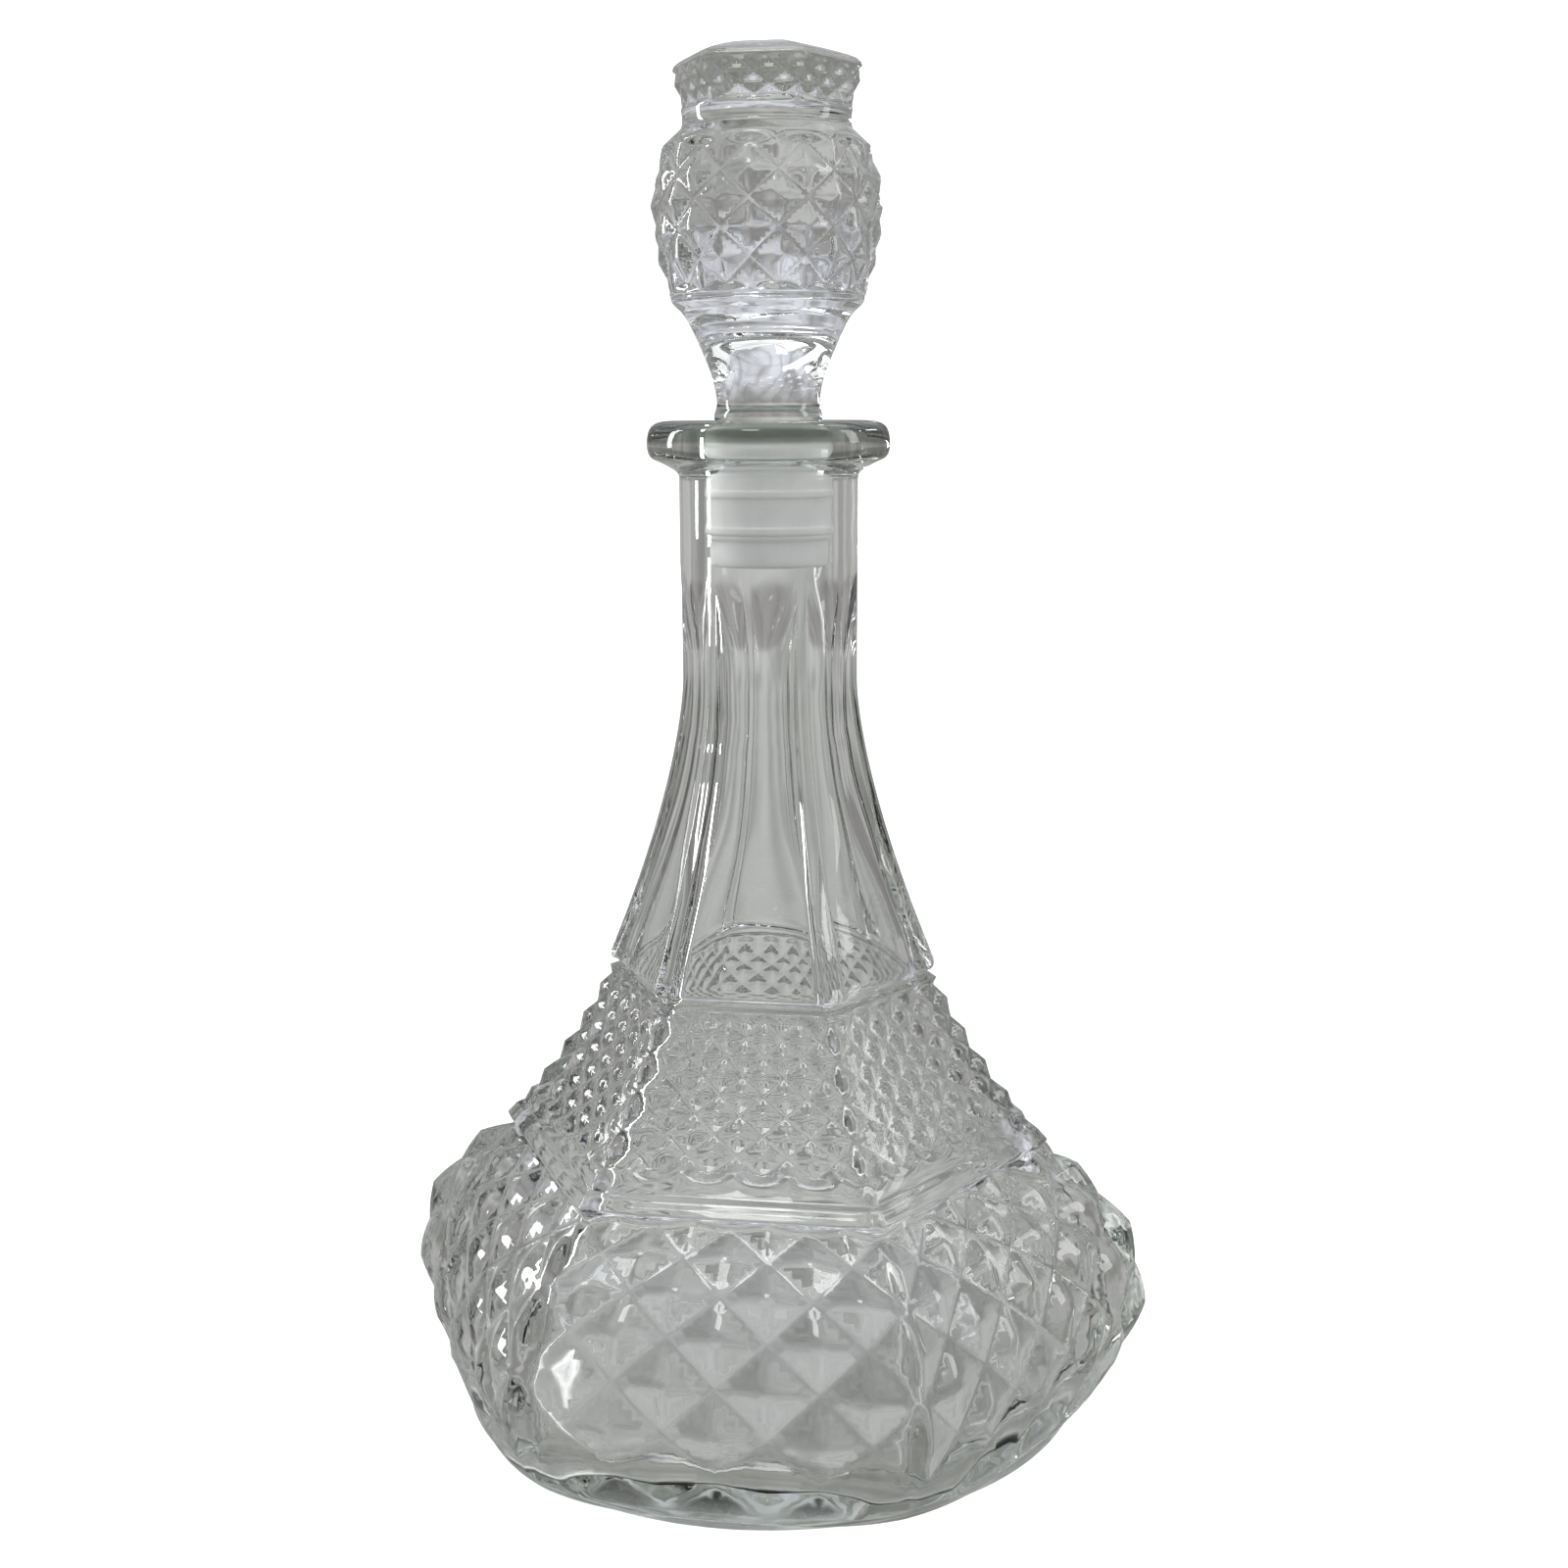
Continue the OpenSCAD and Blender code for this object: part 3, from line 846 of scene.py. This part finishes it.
def build_backdrop(rgb):
    """Floor and backdrop in one: a flat disc that curves up into a tall round wall.

    Formula: a profile of straight, quarter circle and straight, turned round the axis. The glass
    doesn't see it: what it bends and mirrors is the world's room.
    """
    reach, bend, tall, columns = 2.2, 0.9, 2.6, 128
    turn = np.linspace(0.0, math.pi / 2, 24)
    profile = np.concatenate([
        np.stack([np.linspace(0.0, reach - bend, 24), np.zeros(24)], -1),
        np.stack([reach - bend + bend * np.sin(turn[1:]), bend - bend * np.cos(turn[1:])], -1),
        [[reach, tall]]])
    azimuth = np.arange(columns) * 2.0 * math.pi / columns
    x = profile[:, :1] * np.cos(azimuth)
    y = profile[:, :1] * np.sin(azimuth)
    z = np.repeat(profile[:, 1:], columns, axis=1)
    points = np.stack([x, y, z], -1)
    index = np.arange(z.size).reshape(z.shape)
    a, b = index[:-1], np.roll(index[:-1], -1, axis=1)
    d, c = index[1:], np.roll(index[1:], -1, axis=1)
    quads = np.stack([a, d, c, b], -1).reshape(-1, 4)
    mesh = bpy.data.meshes.new("stage_floor")
    mesh.from_pydata(points.reshape(-1, 3).tolist(), [], quads.tolist())
    mesh.validate()
    mesh.polygons.foreach_set("use_smooth", np.ones(len(mesh.polygons), dtype=bool))
    floor = bpy.data.objects.new("stage_floor", mesh)
    bpy.context.scene.collection.objects.link(floor)
    mesh.materials.append(stage_paint(rgb))
    floor.visible_transmission = False
    floor.visible_glossy = False
    return floor


def add_light(name, place_at, aim, size, power):
    """A soft rectangular lamp that looks at a point."""
    data = bpy.data.lights.new(name, "AREA")
    data.shape, data.size, data.size_y, data.energy = "RECTANGLE", size[0], size[1], power
    lamp = bpy.data.objects.new(name, data)
    bpy.context.scene.collection.objects.link(lamp)
    look = Vector(aim) - Vector(place_at)
    lamp.matrix_world = Matrix.Translation(place_at) @ look.to_track_quat("-Z", "Y").to_matrix().to_4x4()
    return lamp


def build_world():
    """Surroundings: what the glass bends and mirrors is a mid-grey room, and the air itself is pale."""
    world = bpy.data.worlds.new("studio air")
    bpy.context.scene.world = world
    world.use_nodes = True
    world.node_tree.nodes.clear()
    shade = Shade(world.node_tree)
    out = shade.node("ShaderNodeOutputWorld")
    way = shade.wrap(shade.node("ShaderNodeTexCoord").outputs["Generated"])
    split = shade.node("ShaderNodeSeparateXYZ", Vector=way)
    x, z = shade.wrap(split.outputs["X"]), shade.wrap(split.outputs["Z"])
    patches = noise(shade, way, 4.0, 1.0, 0.5).bounded(0.34, 0.66)
    near_table = patches.mix((0.19, 0.195, 0.18, 1.0), (0.34, 0.345, 0.33, 1.0))
    far_table = patches.mix((0.34, 0.342, 0.33, 1.0), (0.56, 0.56, 0.55, 1.0))
    table = z.bounded(-0.75, -0.1).mix(near_table, far_table)
    low_wall = patches.mix((0.26, 0.25, 0.247, 1.0), (0.37, 0.36, 0.355, 1.0))
    high_wall = patches.mix((0.42, 0.425, 0.455, 1.0), (0.84, 0.85, 0.93, 1.0))
    wall = z.bounded(0.05, 0.5).mix(low_wall, high_wall)
    grain = shade.node("ShaderNodeTexWave", Vector=way, Scale=1.6, Distortion=16.0, Detail=2.0,
                       Detail_Scale=1.2)
    streaks = shade.wrap(grain.outputs[1]) ** 6.0 * 0.3
    wall = streaks.mix(wall, (0.14, 0.133, 0.14, 1.0))
    room = z.bounded(-0.03, 0.03).mix(table, wall)
    aside = (x * x).bounded(0.45, 0.8) * 0.4
    room = aside.mix(room, (0.15, 0.15, 0.15, 1.0))
    seen = shade.node("ShaderNodeLightPath")
    direct = shade.wrap(seen.outputs["Is Camera Ray"])
    colour_out = direct.mix(room, (0.93, 0.93, 0.93, 1.0))
    air = shade.node("ShaderNodeBackground", Color=colour_out, Strength=1.0)
    shade.tree.links.new(air.outputs[0], out.inputs["Surface"])


def build_lights():
    """A tall window-like lamp on the left, a soft one above, a small one high in front and a weak
    one on the right."""
    middle = (0.0, 0.0, 0.12)
    add_light("window", (-0.85, 0.08, 0.38), middle, (0.11, 0.6), 2.6)
    add_light("ceiling", (0.1, 0.1, 1.6), middle, (2.2, 2.2), 9.0)
    add_light("lamp", (-0.16, -0.62, 1.15), middle, (0.26, 0.26), 1.6)
    add_light("fill", (0.9, 0.1, 0.5), middle, (0.20, 0.6), 1.5)


# ---------------------------------------------------------------- operators


class DecanterOperator:
    """What the operators share: the scene's settings, and a finished piece's last steps.

    Glass lets the lamps' light past, so only the sleeve casts a shadow.
    """
    bl_options = {"REGISTER", "UNDO"}

    def settings(self, context):
        return context.scene.decanter

    def hand_over(self, piece, material, body, node, slot):
        piece.visible_shadow = slot == "sleeve_plastic"
        piece.data.materials.append(material)
        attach(piece, body)
        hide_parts(node)


class DECANTER_OT_bottle(DecanterOperator, bpy.types.Operator):
    """Makes the six-sided glass bottle with its ribs, ridge and both bands of diamonds"""
    bl_idname = "decanter.bottle"
    bl_label = "Bottle"

    def execute(self, context):
        chosen = self.settings(context)
        # The last number is the height above which the lip's edge gets painted shade.
        glass = pressed_glass("bottle glass", chosen.finish.glass_tint,
                              chosen.finish.glass_density, 0.08, 0.1720)
        self.hand_over(build_bottle(chosen.bottle), glass, "bottle", "bottle", "bottle_glass")
        return {"FINISHED"}


class DECANTER_OT_stopper(DecanterOperator, bpy.types.Operator):
    """Makes the solid glass stopper: peg, stem, diamond knob and six-sided crown"""
    bl_idname = "decanter.stopper"
    bl_label = "Stopper"

    def execute(self, context):
        chosen = self.settings(context)
        glass = pressed_glass("stopper glass", chosen.finish.glass_tint,
                              chosen.finish.stopper_density, 0.02)
        self.hand_over(build_stopper(chosen.stopper), glass, "stopper", "stopper", "stopper_glass")
        return {"FINISHED"}


class DECANTER_OT_sleeve(DecanterOperator, bpy.types.Operator):
    """Makes the translucent plastic sleeve that seals the peg in the neck"""
    bl_idname = "decanter.sleeve"
    bl_label = "Sleeve"

    def execute(self, context):
        chosen = self.settings(context)
        self.hand_over(build_sleeve(chosen.sleeve), sleeve_plastic(chosen.finish.sleeve_colour),
                       "sleeve", "stopper_sleeve", "sleeve_plastic")
        return {"FINISHED"}


class DECANTER_OT_stage(DecanterOperator, bpy.types.Operator):
    """Sets up the pale floor and backdrop, the soft lamps and the camera"""
    bl_idname = "decanter.stage"
    bl_label = "Stage"

    def execute(self, context):
        chosen = self.settings(context)
        build_backdrop(chosen.finish.floor_colour)
        build_world()
        build_lights()
        build_camera()
        context.scene.view_settings.view_transform = "Standard"
        context.scene.cycles.max_bounces = 48
        context.scene.cycles.transmission_bounces = 48
        context.scene.cycles.glossy_bounces = 8
        return {"FINISHED"}


class DECANTER_PT_panel(bpy.types.Panel):
    """Lists the decanter's operators"""
    bl_label = "Decanter"
    bl_idname = "DECANTER_PT_panel"
    bl_space_type = "VIEW_3D"
    bl_region_type = "UI"
    bl_category = "Decanter"

    def draw(self, context):
        for operator in OPERATORS:
            self.layout.operator(operator.bl_idname)


class DecanterSettings(bpy.types.PropertyGroup):
    """All of the decanter's settings."""
    bottle: PointerProperty(type=BottleShape)
    stopper: PointerProperty(type=StopperShape)
    sleeve: PointerProperty(type=SleeveShape)
    finish: PointerProperty(type=Finishes)


OPERATORS = (DECANTER_OT_bottle, DECANTER_OT_stopper, DECANTER_OT_sleeve, DECANTER_OT_stage)
CLASSES = (BottleShape, StopperShape, SleeveShape, Finishes, DecanterSettings, *OPERATORS,
           DECANTER_PT_panel)


def register():
    for cls in CLASSES:
        bpy.utils.register_class(cls)
    bpy.types.Scene.decanter = PointerProperty(type=DecanterSettings)


def unregister():
    del bpy.types.Scene.decanter
    for cls in reversed(CLASSES):
        bpy.utils.unregister_class(cls)


def plain(box):
    """A box as lists of numbers."""
    return [[float(v) for v in corner] for corner in box]


def main():
    register()
    bpy.ops.decanter.bottle()
    bpy.ops.decanter.stopper()
    bpy.ops.decanter.sleeve()
    bpy.ops.decanter.stage()


if __name__ == "__main__":
    main()
